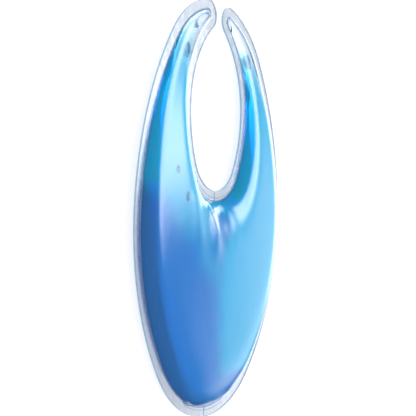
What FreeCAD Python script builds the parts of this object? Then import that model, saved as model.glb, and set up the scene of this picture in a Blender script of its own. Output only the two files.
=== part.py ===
import FreeCAD, Part
import math
import os

import Sketcher

# Gel eye pillow: a flat horseshoe pouch.  Two clear PVC films are welded together along a flat rim, and
# the sealed chamber between them holds gel with a few trapped air bubbles.  Units are millimetres.
# The pouch lies flat: +Z is up, the two horns point along +Y, and the origin is under the middle of its box.

doc = FreeCAD.newDocument("eye_pillow")
V = FreeCAD.Vector

# ---------------------------------------------------------------- driving sizes
SIZES = [
    ("overall_length", 220),          # nose to horn tips, along Y
    ("overall_width", 150),           # across the widest place, along X
    ("nose_radius", 59),              # rounded end that rests on the brow
    ("widest_from_nose", 104),        # from the nose to the widest place
    ("crown_radius", 56),             # outer edge that turns in towards the horn tip
    ("horn_tip_radius", 8),
    ("horn_gap", 6.5),                # slit between the two horn tips
    ("notch_width", 54),              # widest place of the opening between the arms
    ("notch_floor_from_nose", 119),
    ("notch_floor_radius", 22),
    ("notch_widest_from_floor", 43),
    ("rim_width", 5),                 # flat weld round the whole outline
    ("film_thickness", 0.5),          # each film
    ("seam_height", 5),               # weld plane above the table
    ("full_rise", 9),                 # rise above the weld plane that a very wide chamber would reach
    ("edge_lift", 0.17),              # rise per width where the chamber is narrow
    ("edge_slope", 1.15),             # least slope of the film where it leaves the weld
    ("bead_width", 1),                # melt bead along the inner edge of the weld
    ("fill_gap", 43),                 # length of the closing weld at the nose
    ("tip_bubble_length", 22),        # flat pocket of air in one horn tip
    ("tip_bubble_width", 5),
    ("horn_bubble_length", 10),
    ("horn_bubble_width", 6),
    ("small_bubble_size", 4.4),
    ("bubble_depth", 1.8),            # how deep an air bubble reaches into the gel
]
sizes = doc.addObject("Spreadsheet::Sheet", "Sizes")
for row, (alias, value) in enumerate(SIZES, start=1):
    sizes.set("A%d" % row, alias)
    sizes.set("B%d" % row, str(value))
    sizes.setAlias("B%d" % row, alias)
doc.recompute()


# ---------------------------------------------------------------- plan outline, right half
# The half outline is a chain of tangent arcs from the nose, round the horn tip, to the floor of the notch.
# An inset moves the whole chain into the pouch: convex arcs lose the inset and the notch arcs gain it.

def side_radius(half_width, along, end_radius):
    """Radius of the arc that is tangent to an end arc centred on the Y axis and reaches the half width."""
    return (half_width ** 2 + along ** 2 - 2 * along * end_radius) / (2 * (half_width - end_radius))


def arc_chain(inset):
    """The half outline's arcs as (centre, radius, first point, last point, convex), in order."""
    nose_y = -sizes.overall_length / 2
    widest_y = nose_y + sizes.widest_from_nose
    floor_y = nose_y + sizes.notch_floor_from_nose
    neck_y = floor_y + sizes.notch_widest_from_floor
    half = sizes.overall_width / 2
    notch_half = sizes.notch_width / 2
    tip_radius = sizes.horn_tip_radius

    nose = V(0, nose_y + sizes.nose_radius, 0)
    flank_radius = side_radius(half, sizes.widest_from_nose, sizes.nose_radius)
    flank = V(half - flank_radius, widest_y, 0)
    tip = V(sizes.horn_gap / 2 + tip_radius, sizes.overall_length / 2 - tip_radius, 0)
    crown = V(0, tip.y - math.sqrt((sizes.crown_radius - tip_radius) ** 2 - tip.x ** 2), 0)
    shoulder_radius = side_radius(half, crown.y + sizes.crown_radius - widest_y, sizes.crown_radius)
    shoulder = V(half - shoulder_radius, widest_y, 0)

    inward = notch_half - tip.x
    rise = tip.y - neck_y
    throat_radius = (inward ** 2 + rise ** 2 - tip_radius ** 2) / (2 * (tip_radius + inward))
    throat = V(notch_half - throat_radius, neck_y, 0)
    cheek_radius = side_radius(notch_half, sizes.notch_widest_from_floor, sizes.notch_floor_radius)
    cheek = V(notch_half - cheek_radius, neck_y, 0)
    floor = V(0, floor_y + sizes.notch_floor_radius, 0)

    convex = [(nose, sizes.nose_radius), (flank, flank_radius), (shoulder, shoulder_radius),
              (crown, sizes.crown_radius), (tip, tip_radius)]
    concave = [(throat, throat_radius), (cheek, cheek_radius), (floor, sizes.notch_floor_radius)]
    joints = [V(0, nose_y + inset, 0)]
    for (centre, radius), (following, next_radius) in zip(convex, convex[1:]):
        outwards = (centre - following) if radius < next_radius else (following - centre)
        joints.append(centre + outwards.normalize() * (radius - inset))
    joints.append(tip + (throat - tip).normalize() * (tip_radius - inset))
    joints.append(V(notch_half + inset, neck_y, 0))
    joints.append(floor + (floor - cheek).normalize() * (sizes.notch_floor_radius + inset))
    joints.append(V(0, floor_y - inset, 0))
    arcs = []
    for number, (centre, radius) in enumerate(convex + concave):
        bends_out = number < len(convex)
        real = radius - inset if bends_out else radius + inset
        arcs.append((centre, real, joints[number], joints[number + 1], bends_out))
    return arcs


def bearing(centre, point):
    """The direction from a centre to a point, in radians."""
    return math.atan2(point.y - centre.y, point.x - centre.x)


# ---------------------------------------------------------------- flat plates cut to the outline
# Each plate is a body with a fully constrained sketch of the right half, padded and mirrored.  The
# sketch has its origin at the nose, so every distance in it is positive.

def outline_plate(name, inset_aliases, thickness_alias, downwards):
    """A plate on the weld plane with the pouch outline, moved in by the sum of some sheet sizes."""
    inset = sum(getattr(sizes, alias) for alias in inset_aliases)
    inset_text = " + ".join("Sizes." + alias for alias in inset_aliases) or "0"
    body = doc.addObject("PartDesign::Body", name)
    planes = {item.Role: item for item in body.Origin.OriginFeatures}
    sketch = body.newObject("Sketcher::SketchObject", name + "_outline")
    sketch.AttachmentSupport = [(planes["XY_Plane"], "")]
    sketch.MapMode = "FlatFace"

    lift = V(0, sizes.overall_length / 2, 0)
    arcs = arc_chain(inset)
    ends = []
    for centre, radius, first, last, convex in arcs:
        low, high = (first, last) if convex else (last, first)
        circle = Part.Circle(centre + lift, V(0, 0, 1), radius)
        sketch.addGeometry(Part.ArcOfCircle(circle, bearing(centre, low), bearing(centre, high)))
        ends.append((1, 2) if convex else (2, 1))
    line = sketch.addGeometry(Part.LineSegment(arcs[-1][3] + lift, arcs[0][2] + lift))
    nose, flank, shoulder, crown, tip, throat, cheek, floor = range(len(arcs))
    origin, y_axis, middle = (-1, 1), -2, 3

    for number in range(len(arcs) - 1):
        sketch.addConstraint(Sketcher.Constraint("Tangent", number, ends[number][1],
                                                 number + 1, ends[number + 1][0]))
    sketch.addConstraint(Sketcher.Constraint("Coincident", floor, ends[floor][1], line, 1))
    sketch.addConstraint(Sketcher.Constraint("Coincident", nose, ends[nose][0], line, 2))
    on_the_middle_line = ((nose, ends[nose][0]), (nose, middle), (crown, middle),
                          (floor, ends[floor][1]), (floor, middle))
    for piece, place in on_the_middle_line:
        sketch.addConstraint(Sketcher.Constraint("PointOnObject", piece, place, y_axis))

    def bind(kind, places, value, expression):
        """Add a dimension and tie it to the sheet."""
        number = sketch.addConstraint(Sketcher.Constraint(kind, *places, value))
        sketch.setExpression("Constraints[%d]" % number, expression)

    for piece, alias in ((nose, "nose_radius"), (crown, "crown_radius"), (tip, "horn_tip_radius")):
        bind("Radius", (piece,), getattr(sizes, alias) - inset, "Sizes.%s - (%s)" % (alias, inset_text))
    bind("Radius", (floor,), sizes.notch_floor_radius + inset,
         "Sizes.notch_floor_radius + (%s)" % inset_text)
    bind("DistanceY", origin + (nose, ends[nose][0]), inset, "0 + " + inset_text)
    bind("DistanceY", origin + (floor, ends[floor][1]), sizes.notch_floor_from_nose - inset,
         "Sizes.notch_floor_from_nose - (%s)" % inset_text)
    bind("DistanceX", origin + (flank, ends[flank][1]), sizes.overall_width / 2 - inset,
         "Sizes.overall_width / 2 - (%s)" % inset_text)
    bind("DistanceY", origin + (flank, ends[flank][1]), sizes.widest_from_nose, "Sizes.widest_from_nose")
    bind("DistanceY", origin + (flank, middle), sizes.widest_from_nose, "Sizes.widest_from_nose")
    bind("DistanceX", origin + (tip, middle), sizes.horn_gap / 2 + sizes.horn_tip_radius,
         "Sizes.horn_gap / 2 + Sizes.horn_tip_radius")
    bind("DistanceY", origin + (tip, middle), sizes.overall_length - sizes.horn_tip_radius,
         "Sizes.overall_length - Sizes.horn_tip_radius")
    neck = "Sizes.notch_floor_from_nose + Sizes.notch_widest_from_floor"
    neck_height = sizes.notch_floor_from_nose + sizes.notch_widest_from_floor
    bind("DistanceX", origin + (throat, ends[throat][1]), sizes.notch_width / 2 + inset,
         "Sizes.notch_width / 2 + (%s)" % inset_text)
    bind("DistanceY", origin + (throat, ends[throat][1]), neck_height, neck)
    bind("DistanceY", origin + (throat, middle), neck_height, neck)

    pad = body.newObject("PartDesign::Pad", name + "_plate")
    pad.Profile = sketch
    pad.setExpression("Length", "Sizes." + thickness_alias)
    pad.Reversed = downwards
    both = body.newObject("PartDesign::Mirrored", name + "_both_sides")
    both.Originals = [pad]
    both.MirrorPlane = (planes["YZ_Plane"], [""])
    body.Tip = both
    body.setExpression("Placement.Base.y", "-Sizes.overall_length / 2")
    body.setExpression("Placement.Base.z", "Sizes.seam_height")
    doc.recompute()
    if sketch.solve() != 0 or not sketch.FullyConstrained:
        raise RuntimeError("%s: the outline sketch is not fully constrained" % name)
    return body


# ---------------------------------------------------------------- the formed chamber
# The chamber is a loft through lens-shaped sections.  Each section stands on a spoke that joins a place
# on the outer weld line to the matching place on the notch's weld line.

def swept(centre, radius, first, last, convex):
    """An arc as (centre, radius, first bearing, signed sweep)."""
    start = bearing(centre, first)
    sweep = (bearing(centre, last) - start) % (2 * math.pi)
    return centre, radius, start, sweep if convex else sweep - 2 * math.pi


def weld_lines():
    """The weld line as two chains: nose to horn tip, and notch floor to horn tip."""
    arcs = [swept(*arc) for arc in arc_chain(sizes.rim_width)]
    centre, radius, start, sweep = arcs[4]
    outer = arcs[:4] + [(centre, radius, start, sweep / 2)]
    inner = [(place, size, angle + turn, -turn) for place, size, angle, turn in reversed(arcs[5:])]
    inner.append((centre, radius, start + sweep, -sweep / 2))
    return outer, inner


def along(chain, fraction):
    """The point at a fraction of a chain's length."""
    lengths = [radius * abs(sweep) for centre, radius, start, sweep in chain]
    left = fraction * sum(lengths)
    for (centre, radius, start, sweep), length in zip(chain, lengths):
        if left <= length or length == lengths[-1]:
            angle = start + sweep * min(left / length, 1)
            return centre + V(math.cos(angle), math.sin(angle), 0) * radius
        left -= length


def rise_of(width):
    """How far the film stands off the weld plane in the middle of a chamber of this width."""
    return sizes.full_rise * (1 - math.exp(-sizes.edge_lift * width / sizes.full_rise))


PROFILE_STEPS = 16     # places across a section


def power_of(width):
    """The higher the power, the flatter the top.  It keeps the edge of a wide chamber as steep as asked."""
    return max(4, sizes.edge_slope * width / 2 / max(rise_of(width), 1))


SPOKES = [0, 0.1, 0.2, 0.3, 0.4, 0.5, 0.6, 0.7, 0.79, 0.86, 0.91, 0.945, 0.97, 0.985, 0.995]


def spoke(outer, inner, share):
    """The ends of a spoke.  Near the horn tip both ends are equally far from the tip, in spite of the chains'
    different lengths."""
    lengths = [sum(radius * abs(sweep) for centre, radius, start, sweep in chain) for chain in (outer, inner)]
    catch_up = 1 + (lengths[0] / lengths[1] - 1) * share ** 3
    return along(outer, share), along(inner, 1 - (1 - share) * catch_up)


def section(outer, inner, skin):
    """The closed lens wire over one spoke, grown outwards by the skin thickness."""
    width = (inner - outer).Length
    across = (inner - outer).normalize()
    rise = rise_of(width)
    power = power_of(width)
    sides = []
    for side in (1, -1):
        points = []
        for step in range(PROFILE_STEPS + 1):
            share = -math.cos(math.pi * step / PROFILE_STEPS)
            height = rise * (1 - abs(share) ** power)
            slope = -2 * power * rise * abs(share) ** (power - 1) * math.copysign(1, share) / width
            scale = skin / math.hypot(1, slope)
            place = (share + 1) / 2 * width - slope * scale
            level = sizes.seam_height + side * (height + scale)
            points.append(outer + across * place + V(0, 0, level))
        sides.append(points)
    edges = []
    for points in sides:
        curve = Part.BSplineCurve()
        curve.interpolate(points)
        edges.append(curve.toShape())
    if skin:
        edges.insert(1, Part.LineSegment(sides[0][-1], sides[1][-1]).toShape())
        edges.append(Part.LineSegment(sides[1][0], sides[0][0]).toShape())
    return Part.Wire(Part.sortEdges(edges)[0])


def chamber(skin):
    """The whole chamber from one horn tip to the other, grown outwards by the skin thickness."""
    outer, inner = weld_lines()
    right = [spoke(outer, inner, share) for share in SPOKES]
    left = [(V(-a.x, a.y, 0), V(-b.x, b.y, 0)) for a, b in reversed(right[1:])]
    return Part.makeLoft([section(a, b, skin) for a, b in left + right], True, False)


def feature(name, shape):
    """A document object that holds a shape made here."""
    holder = doc.addObject("Part::Feature", name)
    holder.Shape = shape
    holder.Placement = FreeCAD.Placement()
    return holder


def boolean(kind, name, base, tool):
    """A Cut, Common or Fuse of two objects."""
    made = doc.addObject("Part::" + kind, name)
    made.Base = base
    made.Tool = tool
    return made


def block(name, sides, corner):
    """A box whose three sides and low corner are sheet expressions."""
    box = doc.addObject("Part::Box", name)
    for axis, text in zip(("Length", "Width", "Height"), sides):
        box.setExpression(axis, text)
    for axis, text in zip("xyz", corner):
        box.setExpression("Placement.Base." + axis, text)
    return box


# ---------------------------------------------------------------- films, gel and weld beads
LONG = "Sizes.overall_length"
above = block("space_above", (LONG, LONG + " * 2", LONG),
              ("-Sizes.overall_length / 2", "-Sizes.overall_length", "Sizes.seam_height"))
below = block("space_below", (LONG, LONG + " * 2", "Sizes.seam_height"),
              ("-Sizes.overall_length / 2", "-Sizes.overall_length", "0"))
gel_space = block("gel_space", (LONG, LONG + " * 2", LONG),
                  ("-Sizes.overall_length / 2", "-Sizes.overall_length", "Sizes.film_thickness"))

chamber_filling = feature("chamber_filling", chamber(0))
chamber_skin = feature("chamber_skin", chamber(sizes.film_thickness))
filling = boolean("Common", "filling", chamber_filling, gel_space)

# Each film is its half of the grown chamber and its rim plate, with the filling's room taken out.
films = []
for label, half, downwards in (("upper_film", above, False), ("lower_film", below, True)):
    plate = outline_plate(label + "_rim", (), "film_thickness", downwards)
    dome = boolean("Common", label + "_dome", chamber_skin, half)
    solid = boolean("Fuse", label + "_solid", dome, plate)
    films.append(boolean("Cut", label, solid, filling))

# The gel stops at the melt bead, and the closing weld's bead stands between the two ends of the main one.
upper_inside = outline_plate("inside_bead_upper", ("rim_width", "bead_width"), "full_rise", False)
lower_inside = outline_plate("inside_bead_lower", ("rim_width", "bead_width"), "seam_height", True)
inside_bead = boolean("Fuse", "inside_bead", upper_inside, lower_inside)
closing_space = block("closing_space", ("Sizes.fill_gap", "Sizes.nose_radius", "Sizes.full_rise * 2"),
                      ("-Sizes.fill_gap / 2", "-Sizes.overall_length / 2",
                       "Sizes.seam_height - Sizes.full_rise"))
bead_ring = boolean("Cut", "bead_ring", filling, inside_bead)
main_bead = boolean("Cut", "main_weld_bead", bead_ring, closing_space)
closing_bead = boolean("Common", "closing_weld_bead", bead_ring, closing_space)
plain_gel = boolean("Common", "plain_gel", filling, inside_bead)


# ---------------------------------------------------------------- air bubbles
# Air gathers under the upper film, so each bubble is half of a flattened ellipsoid sunk in the gel's top.
# A bubble's place is its arm, its share of the way from nose to horn tip, and its share across the chamber.
LEFT, RIGHT = -1, 1
BUBBLES = [
    ("left_tip_bubble", LEFT, 0.951, 0.42, "tip_bubble_length", "tip_bubble_width"),
    ("left_horn_bubble", LEFT, 0.836, 0.43, "horn_bubble_length", "horn_bubble_width"),
    ("right_tip_bubble", RIGHT, 0.975, 0.55, "horn_bubble_length", "small_bubble_size"),
    ("right_horn_bubble", RIGHT, 0.87, 0.6, "horn_bubble_length", "horn_bubble_width"),
    ("left_arm_bubble", LEFT, 0.467, 0.58, "small_bubble_size", "small_bubble_size"),
    ("left_brow_bubble", LEFT, 0.332, 0.7, "small_bubble_size", "small_bubble_size"),
]


def bubble(name, arm, share, across, length_alias, width_alias):
    outer_end, inner_end = spoke(*weld_lines(), share)
    spoke_line = inner_end - outer_end
    place = outer_end + spoke_line * across
    height = rise_of(spoke_line.Length) * (1 - abs(2 * across - 1) ** power_of(spoke_line.Length))
    made = doc.addObject("Part::Ellipsoid", name)
    made.setExpression("Radius1", "Sizes.bubble_depth")
    made.setExpression("Radius2", "Sizes.%s / 2" % width_alias)
    made.setExpression("Radius3", "Sizes.%s / 2" % length_alias)
    turn = FreeCAD.Rotation(V(0, 0, 1), arm * math.degrees(math.atan2(spoke_line.y, spoke_line.x)))
    made.Placement = FreeCAD.Placement(V(arm * place.x, place.y, sizes.seam_height + height), turn)
    return made


bubbles = doc.addObject("Part::MultiFuse", "bubbles")
bubbles.Shapes = [bubble(*row) for row in BUBBLES]
gel = boolean("Cut", "gel_fill", plain_gel, bubbles)


# ---------------------------------------------------------------- checks and files
nodes = films + [gel, main_bead, closing_bead]
for node in nodes:
    node.Label = node.Name
doc.recompute()
for item in doc.Objects:
    if "Invalid" in item.State or "Error" in item.State:
        raise RuntimeError("%s did not build: %s" % (item.Name, item.State))
os.makedirs("parts", exist_ok=True)
for node in nodes:
    shape = node.Shape
    if shape.isNull() or not shape.isValid():
        raise RuntimeError("%s has no valid shape" % node.Label)
    box = shape.optimalBoundingBox(True, False)
    print("%-18s solids %d, volume %9.1f mm3, z %.2f to %.2f" % (node.Label, len(shape.Solids), shape.Volume,
                                                                 box.ZMin, box.ZMax))
    shape.exportStep("parts/%s.step" % node.Label)
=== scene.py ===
# %% [markdown]
# # A gel eye pillow
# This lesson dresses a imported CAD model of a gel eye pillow. The real thing is a flat horseshoe pouch:
# two clear, soft PVC films are welded together round a flat rim, and the chamber between them holds a
# clear blue gel with a few air bubbles. Shapes are worked out in millimetres, and the finished pieces are in
# metres, in the frame of the CAD model: +Z is up, the two horns point along +Y, and the pouch lies on the
# floor at z = 0.

# %% Load the fixed frame
import math

import bmesh
import bpy
import numpy as np
from mathutils import Matrix, Vector


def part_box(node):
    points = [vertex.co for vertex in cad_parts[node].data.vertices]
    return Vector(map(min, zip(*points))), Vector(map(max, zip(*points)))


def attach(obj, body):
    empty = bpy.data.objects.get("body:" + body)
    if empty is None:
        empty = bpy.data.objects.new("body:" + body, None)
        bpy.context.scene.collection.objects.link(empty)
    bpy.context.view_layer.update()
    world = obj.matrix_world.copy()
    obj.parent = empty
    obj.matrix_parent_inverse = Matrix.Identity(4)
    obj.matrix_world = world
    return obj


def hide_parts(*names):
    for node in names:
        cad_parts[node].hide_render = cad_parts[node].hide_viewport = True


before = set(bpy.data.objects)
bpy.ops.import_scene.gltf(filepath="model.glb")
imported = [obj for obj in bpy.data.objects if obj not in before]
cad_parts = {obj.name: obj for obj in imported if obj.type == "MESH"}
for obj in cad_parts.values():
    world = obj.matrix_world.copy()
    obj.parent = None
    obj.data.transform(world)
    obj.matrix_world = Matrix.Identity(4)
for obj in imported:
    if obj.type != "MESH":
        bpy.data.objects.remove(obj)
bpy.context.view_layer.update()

MM = 0.001
film_low, film_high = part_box("upper_film")
LENGTH = (film_high[1] - film_low[1]) / MM
WIDTH = (film_high[0] - film_low[0]) / MM
SEAM = film_low[2] / MM
print("pouch: %.1f mm long, %.1f mm wide, weld plane %.1f mm up" % (LENGTH, WIDTH, SEAM))

# %% [markdown]
# ## The outline
# A welding tool is a bent brass strip, so its outline is a chain of arcs that run into each other without
# a corner. The half outline goes from the nose, round the horn tip, to the floor of the notch. Moving
# the chain in or out only changes the radii, and that gives the cut edge, the weld line and the gel's edge
# from the same few sizes, all in millimetres.

# %% Driving sizes of the outline
NOSE_RADIUS = 59
WIDEST_FROM_NOSE = 104
CROWN_RADIUS = 56
TIP_RADIUS = 8
HORN_GAP = 6.5
NOTCH_WIDTH = 54
NOTCH_FLOOR_FROM_NOSE = 119
NOTCH_FLOOR_RADIUS = 22
NOTCH_WIDEST_FROM_FLOOR = 43
RIM_WIDTH = 5
FILM = 0.5
FILL_GAP = 43
print("notch %.0f mm wide, rim %.0f mm wide, horns %.1f mm apart" % (NOTCH_WIDTH, RIM_WIDTH, HORN_GAP))

# %% [markdown]
# ### Arcs that meet without a corner
# Two arcs run into each other smoothly when both centres and the point where they meet lie on one line.
# A curve with Bezier handles could be bent by eye instead, but then every size would be a guess. Here the
# sizes above fix all centres and radii, and changing one size moves only what depends on it.

# %% Arcs of the right half
def side_radius(half_width, from_end, end_radius):
    """The arc that meets an end arc on the middle line and just reaches the half width."""
    return (half_width ** 2 + from_end ** 2 - 2 * from_end * end_radius) / (2 * (half_width - end_radius))


def outline_arcs():
    """Centres and radii of the right half: five arcs that bulge out and three that bound the notch."""
    nose_y = -LENGTH / 2
    widest_y = nose_y + WIDEST_FROM_NOSE
    floor_y = nose_y + NOTCH_FLOOR_FROM_NOSE
    neck_y = floor_y + NOTCH_WIDEST_FROM_FLOOR
    flank = side_radius(WIDTH / 2, WIDEST_FROM_NOSE, NOSE_RADIUS)
    tip = (HORN_GAP / 2 + TIP_RADIUS, LENGTH / 2 - TIP_RADIUS)
    crown_y = tip[1] - math.sqrt((CROWN_RADIUS - TIP_RADIUS) ** 2 - tip[0] ** 2)
    shoulder = side_radius(WIDTH / 2, crown_y + CROWN_RADIUS - widest_y, CROWN_RADIUS)
    inward, rise = NOTCH_WIDTH / 2 - tip[0], tip[1] - neck_y
    throat = (inward ** 2 + rise ** 2 - TIP_RADIUS ** 2) / (2 * (TIP_RADIUS + inward))
    cheek = side_radius(NOTCH_WIDTH / 2, NOTCH_WIDEST_FROM_FLOOR, NOTCH_FLOOR_RADIUS)
    bulging = [((0, nose_y + NOSE_RADIUS), NOSE_RADIUS), ((WIDTH / 2 - flank, widest_y), flank),
               ((WIDTH / 2 - shoulder, widest_y), shoulder), ((0, crown_y), CROWN_RADIUS), (tip, TIP_RADIUS)]
    hollow = [((NOTCH_WIDTH / 2 - throat, neck_y), throat), ((NOTCH_WIDTH / 2 - cheek, neck_y), cheek),
              ((0, floor_y + NOTCH_FLOOR_RADIUS), NOTCH_FLOOR_RADIUS)]
    return bulging, hollow


BULGING, HOLLOW = outline_arcs()
print("radii that bulge out:", [round(radius, 1) for centre, radius in BULGING])

# %% [markdown]
# ### Where each arc starts
# Seen from its own centre, an arc ends in the direction of the line through the two centres. So the
# bearing of that line gives the end of one arc and the start of the next. Bearings are in radians, counted
# from +X towards +Y.

# %% Bearings of the arcs
def bearings(bulging, hollow):
    """Where each arc starts and how far it turns, seen from its own centre."""
    centres = [centre for centre, radius in bulging + hollow]
    turns = [-math.pi / 2]
    for (first, size), (second, next_size) in zip(bulging, bulging[1:]):
        big, small = (second, first) if size < next_size else (first, second)
        turns.append(math.atan2(small[1] - big[1], small[0] - big[0]))
    tip, throat, cheek, floor = centres[len(bulging) - 1:]
    turns.append(math.atan2(throat[1] - tip[1], throat[0] - tip[0]))
    tip_end = turns[-1] + math.pi
    neck = 0.0
    floor_start = math.atan2(floor[1] - cheek[1], floor[0] - cheek[0])
    spans = list(zip(turns, turns[1:]))
    spans += [(tip_end, neck), (neck, floor_start), (floor_start, -math.pi / 2)]
    result = []
    for number, (start, end) in enumerate(spans):
        sweep = (end - start) % (2 * math.pi)
        result.append((start, sweep if number < len(bulging) else sweep - 2 * math.pi))
    return result


BEARINGS = bearings(BULGING, HOLLOW)
print("arcs turn by", [round(math.degrees(sweep)) for start, sweep in BEARINGS], "degrees")

# %% [markdown]
# ### The same outline, moved in
# An arc that is moved into the pouch keeps its centre: it gets smaller where the outline bulges and larger
# round the notch. The chain is cut in two at the middle of the horn tip, so that one chain is the outer
# side and the other is the notch side.

# %% Two chains that meet at the horn tip
def side_chains(inset):
    """The outline moved in by inset, as two chains that both end at the middle of the horn tip."""
    chain = []
    for number, ((centre, radius), (start, sweep)) in enumerate(zip(BULGING + HOLLOW, BEARINGS)):
        sign = 1 if number < len(BULGING) else -1
        chain.append((centre, radius - sign * inset, start, sweep, sign))
    tip = len(BULGING) - 1
    inner = []
    for centre, radius, start, sweep, sign in reversed(chain[tip + 1:]):
        inner.append((centre, radius, start + sweep, -sweep, sign))
    centre, radius, start, sweep, sign = chain[tip]
    outer = chain[:tip] + [(centre, radius, start, sweep / 2, sign)]
    inner.append((centre, radius, start + sweep, -sweep / 2, sign))
    return outer, inner


def chain_length(chain):
    return sum(radius * abs(sweep) for centre, radius, start, sweep, sign in chain)


def along(chain, share):
    """The point at a share of a chain's length and the way that points out of the pouch there."""
    left = share * chain_length(chain)
    for centre, radius, start, sweep, sign in chain:
        length = radius * abs(sweep)
        if left <= length + 1e-9:
            break
        left -= length
    angle = start + sweep * min(left / length, 1)
    way = np.array([math.cos(angle), math.sin(angle)])
    return np.array(centre) + radius * way, sign * way


for inset in (0, RIM_WIDTH):
    outer, inner = side_chains(inset)
    print("inset %d mm: outer side %.0f mm, notch side %.0f mm" % (inset, chain_length(outer),
                                                                   chain_length(inner)))

# %% [markdown]
# ## A grid over the chamber
# Spokes join the outer weld line to the notch's weld line, all the way from one horn tip to the other.
# A long thin form like this shades best on quads that follow it, so the same spokes carry the films and
# the gel. They crowd together towards the tips, where the weld line turns tightly.

# %% Spokes from horn tip to horn tip
SPOKES_PER_SIDE = 130
CELLS_ACROSS = 60
LAST_SPOKE = 0.9985     # share of the way to the tip where the last spoke stands
CROWDING = 1.6          # above 1, spokes stand closer towards the tips


def spoke_ends(inset):
    """Outer ends, inner ends and outward ways of the spokes, with a signed share of the way to the tip."""
    outer, inner = side_chains(inset)
    ratio = chain_length(outer) / chain_length(inner)
    rows = []
    # Near the tip, both ends of a spoke move on by the same length.
    for step in range(SPOKES_PER_SIDE + 1):
        share = LAST_SPOKE * (1 - (1 - step / SPOKES_PER_SIDE) ** CROWDING)
        catch_up = 1 + (ratio - 1) * share ** 3
        rows.append((share, *along(outer, share), *along(inner, 1 - (1 - share) * catch_up)))
    flip = np.array([-1.0, 1.0])
    left = [(-share, *(part * flip for part in parts)) for share, *parts in rows[:0:-1]]
    return [np.array(column) for column in zip(*(left + rows))]


SHARE, OUTER_END, OUTER_WAY, INNER_END, INNER_WAY = spoke_ends(RIM_WIDTH)
ACROSS = -np.cos(np.pi * np.arange(CELLS_ACROSS + 1) / CELLS_ACROSS)
SPAN = np.linalg.norm(INNER_END - OUTER_END, axis=1)
print("%d spokes, %.1f mm long at the nose and %.1f mm at the tips" % (len(SPAN), SPAN.max(), SPAN.min()))


def on_spokes(across):
    """Plan places for every spoke and every share across, from -1 on the outer weld line to 1."""
    middle = (OUTER_END + INNER_END) / 2
    half = (INNER_END - OUTER_END) / 2
    return middle[:, None, :] + half[:, None, :] * across[..., None]

# %% [markdown]
# ## How a filled pouch stands up
# Gel pushes the films apart until they pull tight at the weld. The wider the chamber, the higher it
# stands, up to a limit, and the top is flatter than an arch. A power curve across each spoke gives that:
# the higher the power, the flatter the top and the steeper the edge. A cloth simulation could find the same
# broad form. A formula is used because the beads and the gel have to meet the films exactly.

# %% Heights of the chamber
FULL_RISE = 9           # mm that a very wide chamber would stand off the weld plane
EDGE_LIFT = 0.17        # how fast the rise grows with the span of a narrow chamber
DROOP = 1.2             # mm that the weld plane sags at the nose and the tips
TIP_TAPER = 0.985       # share of the way to the tip where the chamber starts to close
TIP_CLOSED = 0.998
EDGE_SLOPE = 1.15       # least slope of the film where it leaves the weld
LEAST_POWER = 4


def smooth_step(low, high, value):
    """0 below low, 1 above high and an S-curve between them."""
    share = np.clip((value - low) / (high - low), 0, 1)
    return share * share * (3 - 2 * share)


def weld_height(place):
    """The weld plane sags a little towards the nose and the horn tips."""
    return SEAM - DROOP * (place[..., 1] / (LENGTH / 2)) ** 2


def swell(across):
    """How far either film stands off the weld plane."""
    rise = FULL_RISE * (1 - np.exp(-EDGE_LIFT * SPAN / FULL_RISE))
    rise = rise * (1 - smooth_step(TIP_TAPER, TIP_CLOSED, abs(SHARE)))
    power = np.maximum(LEAST_POWER, EDGE_SLOPE * SPAN / 2 / np.maximum(rise, 1))
    return rise[:, None] * (1 - abs(across) ** power[:, None])


print("either film stands up to %.1f mm off the weld plane" % swell(ACROSS[None, :]).max())

# %% [markdown]
# ### Soft folds
# Where the edge of the chamber curves inwards, at the notch, the film has spare length and falls into soft
# folds that fan out from the notch floor. Sculpting could make them, but a few numbers are easier to move:
# each fold is a ridge, or a dent where its height is negative, that runs from a start to an end.

# %% Folds
FOLDS = [   # start, end, bow, half width, height, all in mm
    ((-15, 3), (-5, -31), 1.0, 3.2, 0.62),
    ((-24, 3), (-17, -27), 1.0, 5.0, -0.15),
    ((-33, 6), (-23, -34), 2.0, 4.5, 0.25),
    ((1, 1), (13, -30), -2.0, 3.5, 0.10),
    ((9, 2), (20, -26), -2.0, 3.5, 0.12),
    ((4, -101), (33, -92), -2.0, 1.8, 0.7),
]


def fold(place, start, end, bow, half_width, height):
    """A soft fold that is sharpest at its start and dies out towards its end."""
    start, end = np.array(start, float), np.array(end, float)
    run = np.linalg.norm(end - start)
    way = (end - start) / run
    side = np.array([-way[1], way[0]])
    reached = (place - start) @ way / run
    off = (place - start) @ side - bow * 4 * reached * (1 - reached)
    spread = half_width * (0.5 + 1.2 * np.clip(reached, 0, 1))
    ends = smooth_step(-0.05, 0.12, reached) * (1 - smooth_step(0.45, 1, reached))
    return height * np.exp(-(off / spread) ** 2) * ends


def folds(place):
    return sum(fold(place, *row) for row in FOLDS)


print(len(FOLDS), "folds, the highest %.2f mm" % max(row[-1] for row in FOLDS))

# %% [markdown]
# ### The two sides of the chamber
# The upper film is free, so it takes the full swell and the folds. The lower film hangs the same way until
# it meets the floor, and from there it lies flat. A logarithm of exponentials, which numpy calls logaddexp,
# joins the two without a kink.

# %% Heights of both films
def upper_height(place, across):
    lift = swell(across)
    return weld_height(place) + lift + folds(place) * np.clip(lift / 4, 0, 1)


def lower_height(place, across, softness=0.25):
    """The underside hangs as far as the floor lets it, with a soft turn where it starts to rest."""
    hang = weld_height(place) - swell(across) - FILM
    return FILM + softness * np.logaddexp(0, hang / softness)


middle_row = on_spokes(np.broadcast_to(ACROSS, (len(SPAN), len(ACROSS))))
print("the lower film comes down to %.2f mm" % lower_height(middle_row, ACROSS[None, :]).min())

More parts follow.
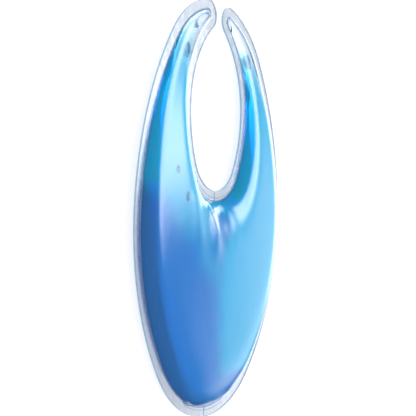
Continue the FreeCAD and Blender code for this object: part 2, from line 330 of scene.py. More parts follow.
# %% [markdown]
# ## The two films
# Each film is one sheet: the formed part over the chamber and its half of the flat rim. It could be
# inflated by a cloth simulation, but the weld line must stay exactly on the outline, so the sheet is laid
# on the spokes and then given its thickness. First the edge of the grid is walked once round, because the
# rim and the beads all follow it.

# %% The edge of the grid
count_down, count_across = len(SPAN), CELLS_ACROSS + 1


def edge_loop():
    """Grid places round the chamber's edge, anticlockwise, with the way out of the pouch at each."""
    middle, last = SPOKES_PER_SIDE, count_down - 1
    cells = [(row, 0) for row in range(middle, last + 1)]
    cells += [(last, column) for column in range(1, CELLS_ACROSS)]
    cells += [(row, CELLS_ACROSS) for row in range(last, -1, -1)]
    cells += [(0, column) for column in range(CELLS_ACROSS - 1, 0, -1)]
    cells += [(row, 0) for row in range(0, middle)]
    ways = []
    for row, column in cells:
        way = OUTER_WAY[row] * (1 - ACROSS[column]) + INNER_WAY[row] * (1 + ACROSS[column])
        ways.append(way / np.linalg.norm(way))
    return cells, np.array(ways)


EDGE_CELLS, EDGE_WAYS = edge_loop()
print("the edge has", len(EDGE_CELLS), "places")

# %% [markdown]
# ### Meshes from points
# All shapes here are worked out in millimetres as numpy arrays. One function turns them into a mesh
# object in metres, and another lists the quads of a grid.

# %% Mesh helpers
def make_object(name, points, faces, smooth=True):
    """A mesh object from points in millimetres."""
    mesh = bpy.data.meshes.new(name)
    mesh.from_pydata([tuple(point * MM) for point in np.asarray(points, float)], [], faces)
    mesh.validate()
    mesh.polygons.foreach_set("use_smooth", [smooth] * len(mesh.polygons))
    made = bpy.data.objects.new(name, mesh)
    bpy.context.collection.objects.link(made)
    return made


def grid_faces(rows, columns, offset=0):
    """Quads of a grid whose points are stored row by row."""
    quads = []
    for row in range(rows - 1):
        for column in range(columns - 1):
            first = offset + row * columns + column
            quads.append((first, first + columns, first + columns + 1, first + 1))
    return quads


def turn_faces_out(made, side=0):
    """Make all normals agree. With side 1 the highest face then looks up, and with -1 it looks down."""
    draft = bmesh.new()
    draft.from_mesh(made.data)
    bmesh.ops.recalc_face_normals(draft, faces=draft.faces)
    highest = max(draft.faces, key=lambda face: face.calc_center_median().z)
    if highest.normal.z * side < 0:
        bmesh.ops.reverse_faces(draft, faces=draft.faces)
    draft.to_mesh(made.data)
    draft.free()


print("a grid of 3 by 3 points has", len(grid_faces(3, 3)), "quads")

# %% [markdown]
# ### Lay a sheet
# The sheet starts as the grid over the chamber. Rows of quads are then added outside its edge for the
# rim, closer together near the weld and near the cut, where light changes fastest. The rim's faces get a
# material slot of their own, because the welding tool leaves a finer ripple there.

# %% Build a film
RIM_ROWS = [0.35, 0.8, 1.4, 2.4, 3.4, 4.2, 4.7, 4.9, 5.0]   # mm outside the weld line


def film_sheet(name, heights, side):
    """One film. side is 1 for the film that swells up and -1 for the one that hangs down."""
    place = on_spokes(np.broadcast_to(ACROSS, (count_down, count_across)))
    tall = heights(place, np.broadcast_to(ACROSS, (count_down, count_across)))
    points = np.dstack([place, tall]).reshape(-1, 3)
    faces = grid_faces(count_down, count_across)
    ring = np.array([row * count_across + column for row, column in EDGE_CELLS])
    rim_points, previous = [], list(ring)
    for distance in RIM_ROWS:
        flat = points[ring][:, :2] + EDGE_WAYS * distance
        rim_points.append(np.column_stack([flat, weld_height(flat) + side * 0.01]))
    total = len(points)
    for number in range(len(RIM_ROWS)):
        current = [total + number * len(ring) + spot for spot in range(len(ring))]
        for spot in range(len(ring)):
            after = (spot + 1) % len(ring)
            faces.append((previous[spot], current[spot], current[after], previous[after]))
        previous = current
    points = np.vstack([points] + rim_points)
    sheet = make_object(name, points, faces)
    turn_faces_out(sheet, side)
    formed = (count_down - 1) * (count_across - 1)
    on_rim = [int(number >= formed) for number in range(len(faces))]
    sheet.data.polygons.foreach_set("material_index", on_rim)
    return sheet


def apply_modifiers(target):
    """Bake an object's modifiers into its mesh."""
    graph = bpy.context.evaluated_depsgraph_get()
    mesh = bpy.data.meshes.new_from_object(target.evaluated_get(graph))
    target.modifiers.clear()
    target.data = mesh


upper = film_sheet("clear_film_upper", upper_height, 1)
lower = film_sheet("clear_film_lower", lower_height, -1)
print("film sheets:", len(upper.data.polygons), "faces each")

# %% [markdown]
# ## Thickness and the cut edge
# Real film has two faces, and light bends at both. A Solidify modifier gives the sheet that thickness and
# puts the faces of the cut edge in their own material slot, because a cut edge of clear film pipes light
# and shows darker than its faces. Modelling the second face by hand would double the work for nothing.

# %% Give the films their thickness
SLOTS = ("film", "welded rim", "cut edge")


def thicken(sheet):
    """Solidify a sheet outwards and leave one material slot for each kind of face."""
    solid = sheet.modifiers.new("film", "SOLIDIFY")
    solid.thickness = FILM * MM
    solid.offset = 1
    solid.use_even_offset = True
    solid.material_offset_rim = 1
    for slot in SLOTS:
        sheet.data.materials.append(None)
    apply_modifiers(sheet)


for sheet, node in ((upper, "upper_film"), (lower, "lower_film")):
    thicken(sheet)
    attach(sheet, "root")
    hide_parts(node)
    lowest = min(vertex.co.z for vertex in sheet.data.vertices) / MM
    highest = max(vertex.co.z for vertex in sheet.data.vertices) / MM
    print("%s from %.2f to %.2f mm" % (sheet.name, lowest, highest))

# %% [markdown]
# ## The gel
# The gel takes the shape of the chamber, a hair inside the films, and stops at the melt bead. It thins
# out in the horn tips, where the filling machine leaves air. It is one closed body, because a clear
# material needs a true inside for light to travel through. So it is laid on the same spokes as the films
# rather than poured by a fluid simulation, which would leave gaps along the film.

# %% Build the gel
GAP = 0.06              # mm between gel and film, so that their faces don't fight
BEAD_WIDTH = 0.9
LEAST_SPAN = 3.0        # mm: a shorter spoke carries no gel
TIP_THINNING = 0.85     # share of the gel's height that is lost at the very tip


def gel_across():
    """Shares across for the gel, which stops short of the weld line by the width of the bead."""
    stop = 1 - np.minimum(2 * BEAD_WIDTH / SPAN, 0.5)
    return ACROSS[None, :] * stop[:, None]


def build_gel():
    """The gel's upper and lower grids, joined round the edge into one closed body."""
    across = gel_across()
    place = on_spokes(across)
    floor = lower_height(place, across) + GAP
    ceiling = upper_height(place, across) - GAP
    fullness = 1 - TIP_THINNING * smooth_step(0.72, 0.93, abs(SHARE))
    top = floor + (ceiling - floor) * fullness[:, None]
    kept = np.flatnonzero(SPAN > LEAST_SPAN)
    rows = len(kept)
    upper_side = np.dstack([place, top])[kept].reshape(-1, 3)
    lower_side = np.dstack([place, floor])[kept].reshape(-1, 3)
    total = len(upper_side)
    faces = grid_faces(rows, count_across)
    faces += [face[::-1] for face in grid_faces(rows, count_across, total)]
    border = [(row, 0) for row in range(rows)]
    border += [(rows - 1, column) for column in range(1, count_across)]
    border += [(row, count_across - 1) for row in range(rows - 2, -1, -1)]
    border += [(0, column) for column in range(count_across - 2, 0, -1)]
    ring = [row * count_across + column for row, column in border]
    for first, second in zip(ring, ring[1:] + ring[:1]):
        faces.append((first, second, second + total, first + total))
    made = make_object("blue_gel", np.vstack([upper_side, lower_side]), faces)
    turn_faces_out(made)
    return made


gel = build_gel()
print("gel: %d faces before the bubbles" % len(gel.data.polygons))

# %% [markdown]
# ### Air bubbles
# A few bubbles of air stay caught under the upper film: long ones in the horns, where the gel runs out,
# and small round ones by the notch. A sphere of a second glass could stand in for each, but air in gel is
# a hole, so every bubble is cut out of the gel with a Boolean. It then shows by the way it bends light.

# %% Cut the air bubbles
BUBBLES = [   # plan place, length, width, turn in degrees, depth: all in mm
    ((-15.0, 98.5), 20, 5.0, 33, 0.5),
    ((12.5, 101.5), 10, 4.4, -48, 0.5),
    ((-31.0, 79.5), 9, 5.5, 70, 0.9),
    ((35.0, 84.0), 9, 5.5, -58, 0.8),
    ((-47.0, 16.0), 4.6, 3.6, 80, 1.0),
    ((-38.0, 3.0), 5.0, 4.0, 75, 1.0),
    ((-20.5, 4.5), 2.0, 1.6, 0, 0.6),
]
DROP_TAPER = 0.28       # how much narrower a bubble is at its blunt end
SUNK = 0.45             # share of its depth that a bubble's middle lies under the gel's top


def surface_over(target, x, y):
    """Height of a mesh straight above a plan place, in millimetres."""
    hit, spot, normal, index = target.ray_cast(Vector((x * MM, y * MM, 1.0)), Vector((0, 0, -1)))
    return spot.z / MM if hit else SEAM


def bubble_cutter(place, length, width, turn, depth):
    """A flattened drop: round at one end and blunter at the other, sunk a little under the gel's top."""
    draft = bmesh.new()
    bmesh.ops.create_uvsphere(draft, u_segments=32, v_segments=20, radius=1)
    for vertex in draft.verts:
        vertex.co.y *= 1 - DROP_TAPER * vertex.co.x
    spot = Vector((place[0], place[1], surface_over(gel, *place) - depth * SUNK))
    heading = Matrix.Rotation(math.radians(turn), 3, "Z")
    bmesh.ops.scale(draft, vec=Vector((length / 2, width / 2, depth)) * MM, verts=draft.verts)
    bmesh.ops.rotate(draft, cent=(0, 0, 0), matrix=heading, verts=draft.verts)
    bmesh.ops.translate(draft, vec=spot * MM, verts=draft.verts)
    mesh = bpy.data.meshes.new("bubble")
    draft.to_mesh(mesh)
    draft.free()
    return bpy.data.objects.new("bubble", mesh)


def cut_bubbles(target):
    """Cut every bubble out of the gel, one after another."""
    for row in BUBBLES:
        cutter = bubble_cutter(*row)
        bpy.context.collection.objects.link(cutter)
        cut = target.modifiers.new("bubble", "BOOLEAN")
        cut.operation = "DIFFERENCE"
        cut.solver = "EXACT"
        cut.object = cutter
        apply_modifiers(target)
        bpy.data.objects.remove(cutter)


cut_bubbles(gel)
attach(gel, "root")
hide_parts("gel_fill")
print("gel with %d bubbles: %d faces" % (len(BUBBLES), len(gel.data.polygons)))

# %% [markdown]
# ## The weld beads
# The welding tool squeezes molten PVC out along the inner edge of the weld, and it sets as a bead in the
# corner between the films. A curve with a bevel could be the bead, but its thickness has to wander as
# molten plastic does, so it is a tube of rings whose radii are set one by one.

# %% A tube along the weld line
BEAD_INSET = 0.45       # mm from the weld line into the chamber
BEAD_RADIUS = 0.42
RING_SIDES = 10


def bead_line():
    """The bead's centre line: edge places moved a little into the chamber, anticlockwise."""
    places = []
    for row, column in EDGE_CELLS:
        share = (1 + ACROSS[column]) / 2
        places.append(OUTER_END[row] * (1 - share) + INNER_END[row] * share)
    return np.array(places) - EDGE_WAYS * BEAD_INSET


def tube(name, path, ways, radii, sides=RING_SIDES, lift=0.0):
    """A tube with closed ends along a plan line on the weld plane, or lifted off it."""
    turn = 2 * np.pi * np.arange(sides) / sides
    height = weld_height(path) + lift
    rings = [np.column_stack([spot[None, :] + way[None, :] * (np.cos(turn) * size)[:, None],
                              level + np.sin(turn) * size])
             for spot, way, size, level in zip(path, ways, radii, height)]
    count = len(rings)
    faces = []
    for number in range(count - 1):
        first, second = number * sides, (number + 1) * sides
        for corner in range(sides):
            after = (corner + 1) % sides
            faces.append((first + corner, first + after, second + after, second + corner))
    faces.append(tuple(range(sides))[::-1])
    faces.append(tuple(range((count - 1) * sides, count * sides)))
    return make_object(name, np.vstack(rings), faces)


line = bead_line()
print("bead line: %d places, %.0f mm long" % (len(line), np.linalg.norm(np.diff(line, axis=0), axis=1).sum()))

# %% [markdown]
# ### Main bead and closing bead
# The pouch is welded all round except for a gap at the nose, filled, and then closed with a second weld.
# So that stretch has its own bead with a lump at either end, and a slightly different line. Random numbers
# with a fixed seed, smoothed along the line, make the beads wander the same way in every run.

# %% Lay the beads
LUMP = 0.5              # mm added to the radius at both ends of the closing bead
CLOSING_RADIUS = 0.58
random = np.random.default_rng(7)


def wander(count, scale, smooth):
    """Smooth random numbers around zero."""
    rough = random.standard_normal(count + 4 * smooth)
    window = np.hanning(4 * smooth + 1)
    return scale * np.convolve(rough, window / np.sqrt((window ** 2).sum()), "valid")[:count]


closing = (abs(line[:, 0]) < FILL_GAP / 2) & (line[:, 1] < -LENGTH / 4)
start = int(np.flatnonzero(~closing & np.roll(closing, 1))[0])
order = np.roll(np.arange(len(line)), -start)
main_part = order[~closing[order]]
closing_part = order[closing[order]]
main_radii = BEAD_RADIUS + wander(len(main_part), scale=0.03, smooth=3)
main_bead = tube("weld_bead_main", line[main_part], EDGE_WAYS[main_part], main_radii)
aside = wander(len(closing_part), scale=0.12, smooth=2)
closing_line = line[closing_part] + EDGE_WAYS[closing_part] * aside[:, None]
closing_radii = CLOSING_RADIUS + wander(len(closing_part), scale=0.08, smooth=2)
closing_radii[:2] += LUMP
closing_radii[-2:] += LUMP
closing_bead = tube("weld_bead_closing", closing_line, EDGE_WAYS[closing_part], closing_radii)
print("main bead over %d places, closing bead over %d" % (len(main_part), len(closing_part)))

# %% [markdown]
# ### Marks of the welding die
# The die has two halves. Where they meet, at the nose and at the floor of the notch, the rim keeps a
# short ridge across it, and the die's edge leaves a fine line along the weld. A bump texture could draw
# them on an unwrapped rim. Small tubes are simpler here, and each is joined to the bead it belongs to.

# %% Press the die marks
TICK_RADIUS = 0.22
NOTCH_REACH = 21        # mm to either side of the middle where the notch's fine line runs


def join_to(target, parts):
    """Join small meshes into one object, so that they stay one piece."""
    draft = bmesh.new()
    for part in [target] + parts:
        draft.from_mesh(part.data)
    draft.to_mesh(target.data)
    draft.free()
    for part in parts:
        bpy.data.objects.remove(part)


def pressed_tick(middle, way):
    """A short ridge across the rim where the two halves of the welding die meet."""
    reach = np.linspace(0.2, RIM_WIDTH - 0.4, 7)
    path = middle[None, :] + way[None, :] * reach[:, None]
    across_way = np.array([[way[1], -way[0]]] * len(reach))
    return tube("tick", path, across_way, np.full(len(reach), TICK_RADIUS), sides=8, lift=FILM)


def pressed_line(rows, distance, radius):
    """A fine ridge that follows the weld line part of the way, on top of the rim."""
    path = line[rows] + EDGE_WAYS[rows] * distance
    return tube("ridge", path, EDGE_WAYS[rows], np.full(len(rows), radius), sides=8, lift=FILM)


from_middle = np.abs(line[main_part][:, 0])
by_notch = line[main_part][:, 1] > 0
floor_rows = main_part[by_notch & (from_middle < NOTCH_REACH) & (line[main_part][:, 1] < LENGTH / 4)]
notch_row = floor_rows[np.argmin(np.abs(line[floor_rows][:, 0]))]
nose_row = closing_part[np.argmin(np.abs(line[closing_part][:, 0]))]
join_to(main_bead, [pressed_tick(line[notch_row], EDGE_WAYS[notch_row]),
                    pressed_line(floor_rows, distance=1.7, radius=0.16)])
join_to(closing_bead, [pressed_tick(line[nose_row], EDGE_WAYS[nose_row]),
                       pressed_line(closing_part, distance=2.0, radius=0.14)])
for bead, node in ((main_bead, "main_weld_bead"), (closing_bead, "closing_weld_bead")):
    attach(bead, "root")
    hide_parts(node)
    print("%s: %d faces" % (bead.name, len(bead.data.polygons)))

# %% [markdown]
# ## Materials
# A colour picker shows sRGB values, but Blender's shaders count in linear light. So every colour is written
# as an sRGB hex value and turned to linear by one function. Another function adds a node with its settings
# and links, which keeps a node tree as short to read as the sentence that describes it.

# %% Helpers for materials
def linear(hex_colour):
    """An sRGB hex colour as linear RGBA."""
    parts = [int(hex_colour[first:first + 2], 16) / 255 for first in (1, 3, 5)]
    parts = [part / 12.92 if part <= 0.04045 else ((part + 0.055) / 1.055) ** 2.4 for part in parts]
    return (*parts, 1.0)


def add(tree, kind, inputs=(), **settings):
    """Add a node, set its properties, then fill each input with a value or a link."""
    node = tree.nodes.new("ShaderNode" + kind)
    for name, value in settings.items():
        setattr(node, name, value)
    for name, value in dict(inputs).items():
        if isinstance(value, bpy.types.NodeSocket):
            tree.links.new(value, node.inputs[name])
        else:
            node.inputs[name].default_value = value
    return node


def material(name):
    """A new material with an empty node tree."""
    made = bpy.data.materials.new(name)
    made.use_nodes = True
    made.node_tree.nodes.clear()
    return made, made.node_tree


def ripple(tree, scale_mm, strength, distance_mm):
    """A bump made of soft noise, with a size in millimetres."""
    place = add(tree, "TexCoord").outputs["Object"]
    noise = add(tree, "TexNoise", {"Vector": place, "Scale": 1 / (scale_mm * MM), "Detail": 2.0})
    return add(tree, "Bump", {"Height": noise.outputs["Fac"], "Strength": strength,
                              "Distance": distance_mm * MM}).outputs["Normal"]


WHITE = linear("#FFFFFF")
print("mid grey #808080 is %.3f in linear light" % linear("#808080")[0])

# %% [markdown]
# ### Clear film
# Soft PVC is rolled flat between hot steel rolls, or calendered, which leaves it glossy with a faint, wide
# ripple. A glass shader could be the film, but a thin film doesn't shift what is behind it, and two bent
# films over a bent gel would need many more light bounces. So the film lets light straight through with a
# slight tint, and mirrors by Fresnel's rule with PVC's index of about 1.53. The welded rim has the finer
# ripple of the die.

# %% Films
PVC_INDEX = 1.53


def film_fresnel(tree, normal):
    """How much one face of PVC mirrors. The back of a face gets the inverse index, as the ray is in air."""
    behind = add(tree, "NewGeometry").outputs["Backfacing"]
    index = add(tree, "MapRange", {"Value": behind, "To Min": PVC_INDEX, "To Max": 1 / PVC_INDEX})
    return add(tree, "Fresnel", {"IOR": index.outputs["Result"], "Normal": normal}).outputs[0]


def clear_film(name, tint, ripple_mm, ripple_strength):
    """Soft PVC, calendered: nearly clear, glossy, with a faint roll ripple."""
    made, tree = material(name)
    normal = ripple(tree, ripple_mm, ripple_strength, distance_mm=0.25)
    clear = add(tree, "BsdfTransparent", {"Color": tint})
    gloss = add(tree, "BsdfGlossy", {"Color": WHITE, "Roughness": 0.12, "Normal": normal})
    mix = add(tree, "MixShader", {0: film_fresnel(tree, normal), 1: clear.outputs[0], 2: gloss.outputs[0]})
    add(tree, "OutputMaterial", {"Surface": mix.outputs[0]})
    return made


FORMED_FILM = clear_film("soft_pvc_calendered", linear("#F6F9FD"), ripple_mm=14, ripple_strength=0.25)
WELDED_FILM = clear_film("soft_pvc_welded", linear("#F6F8FB"), ripple_mm=5, ripple_strength=0.5)
print("made", FORMED_FILM.name, "and", WELDED_FILM.name)

# %% [markdown]
# ### Cut edge
# A steel rule shears the pouch out of the sheet. Light that runs inside the film, some of it through the
# gel, comes out at that edge, so it looks like a thin blue line. Following that light would take very
# many bounces. A surface that is part clear and part solid blue gives the same line.

# %% Cut edge of the film
def cut_edge():
    """The sheared edge of the same PVC: light piped from the gel leaves it blue."""
    made, tree = material("soft_pvc_cut_edge")
    clear = add(tree, "BsdfTransparent", {"Color": linear("#B4CCE4")})
    body = add(tree, "BsdfPrincipled", {"Base Color": linear("#9DBEDD"), "Roughness": 0.25,
                                        "IOR": PVC_INDEX})
    mix = add(tree, "MixShader", {0: 0.6, 1: clear.outputs[0], 2: body.outputs[0]})
    add(tree, "OutputMaterial", {"Surface": mix.outputs[0]})
    return made


CUT_EDGE = cut_edge()
for sheet in (upper, lower):
    for slot, chosen in enumerate((FORMED_FILM, WELDED_FILM, CUT_EDGE)):
        sheet.data.materials[slot] = chosen
print(upper.name, "wears", [chosen.name for chosen in upper.data.materials])

# %% [markdown]
# ### Melt bead
# PVC that has melted and set again is a little milky, because tiny bubbles stay in it. It is smoother
# than the rolled film, so its highlight is sharper. A third of it is a pale diffuse body, and the rest is
# clear and tinted by the gel it touches. A glass bead would need its own light bounces for no more effect.

# %% Bead of melted film
def melted_bead():
    """PVC that melted and set again: rounder, slightly milky, and tinted by the gel behind it."""
    made, tree = material("pvc_melt_bead")
    normal = ripple(tree, scale_mm=2, strength=0.5, distance_mm=0.15)
    clear = add(tree, "BsdfTransparent", {"Color": linear("#A3CCE8")})
    milk = add(tree, "BsdfDiffuse", {"Color": linear("#DCEAF6"), "Normal": normal})
    body = add(tree, "MixShader", {0: 0.35, 1: clear.outputs[0], 2: milk.outputs[0]})
    gloss = add(tree, "BsdfGlossy", {"Color": WHITE, "Roughness": 0.08, "Normal": normal})
    mix = add(tree, "MixShader", {0: film_fresnel(tree, normal), 1: body.outputs[0], 2: gloss.outputs[0]})
    add(tree, "OutputMaterial", {"Surface": mix.outputs[0]})
    return made


BEAD_CLEAR = melted_bead()
for bead in (main_bead, closing_bead):
    bead.data.materials.append(BEAD_CLEAR)
print("beads wear", BEAD_CLEAR.name)

# %% [markdown]
# ### Gel
# The filling is water thickened with a polymer and coloured with a blue dye, so it bends light like water,
# with an index of about 1.34. The dye swallows red first, which is what Volume Absorption does: thick gel
# is deep blue and thin gel is pale. Real gel also scatters a little. A scattering volume would be noisy and
# slow, so a thin diffuse cloud on the gel's outward faces stands in for it. The cloud's colour is painted
# light and shade: a painted shade of deep blue on the -X flank and at the nose, painted light of pale cyan
# towards +X and up the arms, and a dusky painted shade at the throat. The cloud fades out up the horns.

# %% Cloud in the gel
GEL_INDEX = 1.34
CLOUD = 0.7             # share of the gel's surface that is cloudy away from the horns
# painted light and shade: deep blue is painted shade on the -X flank, pale cyan is painted light on the +X
# side
PAINTED_SHADE_BLUE = linear("#5095DA")
PAINTED_LIGHT_CYAN = linear("#3FCEEE")
# painted shade at the throat
PAINTED_THROAT_SHADE_BLUE = linear("#6195D4")
PAINTED_LIGHT_SIDES = [   # direction in plan, where the painted light starts and where it is full, in mm
    ((1.0, 0.25, 0), -33, 2),
    ((0.50, 0.85, 0), -44, -22),
]
# painted shade of the nose fold: below this border the cloud keeps its deep blue
NOSE_SHADE_BORDER = ((-0.33, 1.0, 0), -101, -93)
THROAT = (-4, -12, 8)   # mm: the middle of the painted shade at the throat
THROAT_REACH = 24


def drifting_place(tree):
    """The place on the pouch, pushed about by wide soft noise so that no colour edge is straight."""
    place = add(tree, "TexCoord").outputs["Object"]
    drift = add(tree, "TexNoise", {"Vector": place, "Scale": 1 / (38 * MM), "Detail": 1.0}).outputs["Color"]
    drift = add(tree, "VectorMath", {0: drift, 1: (0.5, 0.5, 0.5)}, operation="SUBTRACT").outputs["Vector"]
    drift = add(tree, "VectorMath", {0: drift, "Scale": 45 * MM}, operation="SCALE").outputs["Vector"]
    return add(tree, "VectorMath", {0: place, 1: drift}, operation="ADD").outputs["Vector"]


def soft_border(tree, place, direction, start, end):
    """0 before start and 1 past end, in millimetres along a direction in plan, and smooth between."""
    slant = add(tree, "VectorMath", {0: place, 1: direction}, operation="DOT_PRODUCT").outputs["Value"]
    return add(tree, "MapRange", {"Value": slant, "From Min": start * MM, "From Max": end * MM},
               interpolation_type="SMOOTHSTEP").outputs["Result"]


def cloud_colour_painted_light(tree, place):
    """Painted light and shade: deep blue on the shaded -X side, pale cyan where light falls on +X, dusky blue
    shade at the throat.
    """
    # painted light: the cloud turns pale cyan towards +X, where the key lamp stands, and up the arms
    painted_light_sides = [soft_border(tree, place, *row) for row in PAINTED_LIGHT_SIDES]
    painted_light_share = add(tree, "Math", {0: painted_light_sides[0], 1: painted_light_sides[1]}, operation="MAXIMUM").outputs[0]
    # painted shade: no painted light below the nose border, where the nose fold shades the gel
    clear_of_nose_shade = soft_border(tree, place, *NOSE_SHADE_BORDER)
    painted_light_share = add(tree, "Math", {0: painted_light_share, 1: clear_of_nose_shade}, operation="MULTIPLY").outputs[0]
    colour = add(tree, "MixRGB", {"Fac": painted_light_share, "Color1": PAINTED_SHADE_BLUE, "Color2": PAINTED_LIGHT_CYAN}).outputs["Color"]
    # painted shade: a dusky blue laid over the throat, strongest at its middle
    throat = add(tree, "VectorMath", {0: place, 1: tuple(part * MM for part in THROAT)},
                 operation="DISTANCE").outputs["Value"]
    throat_shade_share = add(tree, "MapRange", {"Value": throat, "From Min": THROAT_REACH * MM, "From Max": 8 * MM,
                                   "To Max": 0.75}, interpolation_type="SMOOTHSTEP").outputs["Result"]
    return add(tree, "MixRGB", {"Fac": throat_shade_share, "Color1": colour, "Color2": PAINTED_THROAT_SHADE_BLUE}).outputs["Color"]


print("pale cyan is %.2f in linear green, deep blue %.2f" % (PAINTED_LIGHT_CYAN[1], PAINTED_SHADE_BLUE[1]))

# %% [markdown]
# ### The gel's body
# Now the cloud is mixed with the clear gel. The cloud sits on outward faces only: seen from inside, the
# surface must stay clear, or it would throw the light back and turn the gel grey.

# %% Dyed gel
def dyed_gel():
    """Water gel with a blue dye: it refracts like water, darkens with depth and is a little cloudy."""
    made, tree = material("dyed_water_gel")
    normal = ripple(tree, scale_mm=30, strength=0.3, distance_mm=0.6)
    glass = add(tree, "BsdfPrincipled", {"Base Color": WHITE, "Roughness": 0.05, "IOR": GEL_INDEX,
                                         "Transmission Weight": 1.0, "Normal": normal})
    # the cloud's colour carries painted light and shade
    cloud = add(tree, "BsdfDiffuse", {"Color": cloud_colour_painted_light(tree, drifting_place(tree))})
    place = add(tree, "TexCoord").outputs["Object"]
    along_pouch = add(tree, "SeparateXYZ", {"Vector": place}).outputs["Y"]
    thinner = add(tree, "MapRange", {"Value": along_pouch, "From Min": 55 * MM, "From Max": 92 * MM,
                                     "To Min": CLOUD, "To Max": 0.0}).outputs["Result"]
    behind = add(tree, "NewGeometry").outputs["Backfacing"]
    outside = add(tree, "Math", {0: 1.0, 1: behind}, operation="SUBTRACT").outputs[0]
    share = add(tree, "Math", {0: thinner, 1: outside}, operation="MULTIPLY").outputs[0]
    surface = add(tree, "MixShader", {0: share, 1: glass.outputs[0], 2: cloud.outputs[0]})
    dye = add(tree, "VolumeAbsorption", {"Color": linear("#00DDF3"), "Density": 320.0})
    add(tree, "OutputMaterial", {"Surface": surface.outputs[0], "Volume": dye.outputs[0]})
    return made


gel.data.materials.clear()
gel.data.materials.append(dyed_gel())
print("gel wears", gel.data.materials[0].name)

# %% [markdown]
# ## Floor
# Clear things are lit by what surrounds them, so a pale floor shines up through the gel. A studio would
# use a light table. Here the floor is a large matt sheet that also glows a little, which keeps it even and
# almost free of shadow.

# %% Floor
FLOOR_REACH = 4.0
FLOOR_GAP = 0.0003


def build_floor():
    """A square sheet, a hair under the pouch."""
    mesh = bpy.data.meshes.new("floor")
    corners = [(x * FLOOR_REACH, y * FLOOR_REACH, 0) for x, y in ((-1, -1), (1, -1), (1, 1), (-1, 1))]
    mesh.from_pydata(corners, [], [(0, 1, 2, 3)])
    made = bpy.data.objects.new("floor", mesh)
    made.location.z = -FLOOR_GAP
    bpy.context.collection.objects.link(made)
    white, tree = material("pale_floor")
    body = add(tree, "BsdfPrincipled", {"Base Color": linear("#A0A0A0"), "Roughness": 1.0,
                                        "Specular IOR Level": 0.0,
                                        "Emission Color": WHITE, "Emission Strength": 0.75})
    add(tree, "OutputMaterial", {"Surface": body.outputs[0]})
    mesh.materials.append(white)
    return made


floor = build_floor()
print("floor: %.0f m wide" % floor.dimensions.x)

# %% [markdown]
# ## World
# An even white world is the studio's walls: it fills the gel from all sides. It is hidden from glossy
# rays, because a white room mirrored in the film would wash out the blue. Only the lamps are mirrored.

# %% World
world = bpy.data.worlds.new("studio")
world.use_nodes = True
bpy.context.scene.world = world
world.node_tree.nodes["Background"].inputs["Color"].default_value = WHITE
world.node_tree.nodes["Background"].inputs["Strength"].default_value = 0.8
world.cycles_visibility.glossy = False
print("world strength:", world.node_tree.nodes["Background"].inputs["Strength"].default_value)

# %% [markdown]
# ## Lamps
# A highlight on a glossy film is the mirror image of a lamp, so a lamp's shape matters more than its
# power. Studios hang large softboxes, whose light falls off towards the border. Each area lamp here
# does the same with a few nodes. Two lamps only light the pouch and aren't mirrored. The other three stand
# across from the camera and draw the broad highlights along the arms.

# %% Lamps
def soft_edge(tree, share):
    """1 in the middle of a lamp, falling smoothly to 0 over a share of its width at every border."""
    place = add(tree, "NewGeometry").outputs["Parametric"]
    sides = add(tree, "SeparateXYZ", {"Vector": place})
    falls = []
    for axis in ("X", "Y"):
        off_middle = add(tree, "Math", {0: sides.outputs[axis], 1: 0.5}, operation="SUBTRACT").outputs[0]
        off_middle = add(tree, "Math", {0: off_middle}, operation="ABSOLUTE").outputs[0]
        falls.append(add(tree, "MapRange", {"Value": off_middle, "From Min": 0.5, "From Max": 0.5 - share},
                         interpolation_type="SMOOTHSTEP").outputs["Result"])
    return add(tree, "Math", {0: falls[0], 1: falls[1]}, operation="MULTIPLY").outputs[0]


def softbox(name, azimuth, elevation, distance, width, height, radiance, soft=0.3, mirrored=True):
    """A rectangular lamp that faces the pouch. Azimuth is counted from +X towards +Y, in degrees."""
    lamp = bpy.data.lights.new(name, "AREA")
    lamp.shape = "RECTANGLE"
    lamp.size, lamp.size_y = width, height
    lamp.energy = radiance * math.pi * width * height
    lamp.use_nodes = True
    glow = lamp.node_tree.nodes["Emission"]
    lamp.node_tree.links.new(soft_edge(lamp.node_tree, soft), glow.inputs["Strength"])
    made = bpy.data.objects.new(name, lamp)
    turn, tilt = math.radians(azimuth), math.radians(elevation)
    made.location = distance * Vector((math.cos(tilt) * math.cos(turn), math.cos(tilt) * math.sin(turn),
                                       math.sin(tilt)))
    made.rotation_euler = (-made.location).to_track_quat("-Z", "Y").to_euler()
    made.visible_camera = False
    made.visible_glossy = mirrored
    bpy.context.collection.objects.link(made)
    return made


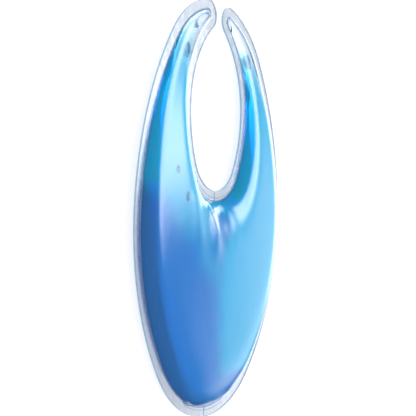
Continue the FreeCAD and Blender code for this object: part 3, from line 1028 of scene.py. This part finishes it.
lamps = [   # name, azimuth, elevation, distance, width, height, radiance
    softbox("overhead", 0, 90, 2.2, 2.4, 2.4, 0.8, mirrored=False),
    softbox("key", 5, 18, 1.9, 3.6, 1.2, 9.0, mirrored=False),
    softbox("far_softbox", 24, 46, 1.6, 1.1, 1.1, 3.8),
    softbox("low_softbox", -8, 20, 1.6, 1.8, 0.9, 1.2, soft=0.45),
    softbox("skim", 14, 8, 1.6, 1.4, 0.6, 3.0),
]
print("lamps:", ", ".join("%s %.0f W" % (lamp.name, lamp.data.energy) for lamp in lamps))

# %% [markdown]
# ## Camera
# A product camera with a long lens stands at the pouch's side, looks down at 30 degrees and is rolled, so
# that the horns point up in the frame. The three directions of its view are worked out as vectors. Euler
# angles could say the same, but a roll of a right angle is hard to read in them.

# %% Camera
ELEVATION = math.radians(30)
HEADING = math.radians(3.98)
ROLL = math.radians(0.37)
DISTANCE = 0.6446
LENS = 105
SHIFT = (-0.0073, 0.0024)   # moves the frame sideways and up without turning the camera


def build_camera():
    """A long lens that looks across the pouch from its -X side, rolled so that the horns point up."""
    lens = bpy.data.cameras.new("camera")
    lens.lens = LENS
    lens.sensor_width = 36
    lens.shift_x, lens.shift_y = SHIFT
    lens.clip_start = 0.01
    target = Vector((0, -0.0006, (SEAM - DROOP) * MM))
    back = Vector((-math.cos(ELEVATION) * math.cos(HEADING), -math.cos(ELEVATION) * math.sin(HEADING),
                   math.sin(ELEVATION)))
    side = (-back).cross(Vector((0, 0, 1))).normalized()
    lift = side.cross(-back)
    right = math.cos(ROLL) * lift - math.sin(ROLL) * side
    up = -math.sin(ROLL) * lift - math.cos(ROLL) * side
    made = bpy.data.objects.new("camera", lens)
    axes = Matrix((right, up, back)).transposed()
    made.matrix_world = Matrix.Translation(target + back * DISTANCE) @ axes.to_4x4()
    bpy.context.collection.objects.link(made)
    bpy.context.scene.camera = made
    return made


camera = build_camera()
print("camera: %.0f mm lens, %.2f m from the pouch" % (camera.data.lens, DISTANCE))

# %% [markdown]
# ## Light paths
# A ray that looks through the pouch crosses two films and the gel, and each film has two faces. With the
# default limits such rays die inside the pouch and leave dark patches. The limits are raised until those
# patches are gone. The Standard view keeps white as white.

# %% Light paths
bpy.context.scene.view_settings.view_transform = "Standard"
bpy.context.scene.cycles.max_bounces = 16
bpy.context.scene.cycles.transmission_bounces = 16
bpy.context.scene.cycles.transparent_max_bounces = 32
print("bounces:", bpy.context.scene.cycles.max_bounces)
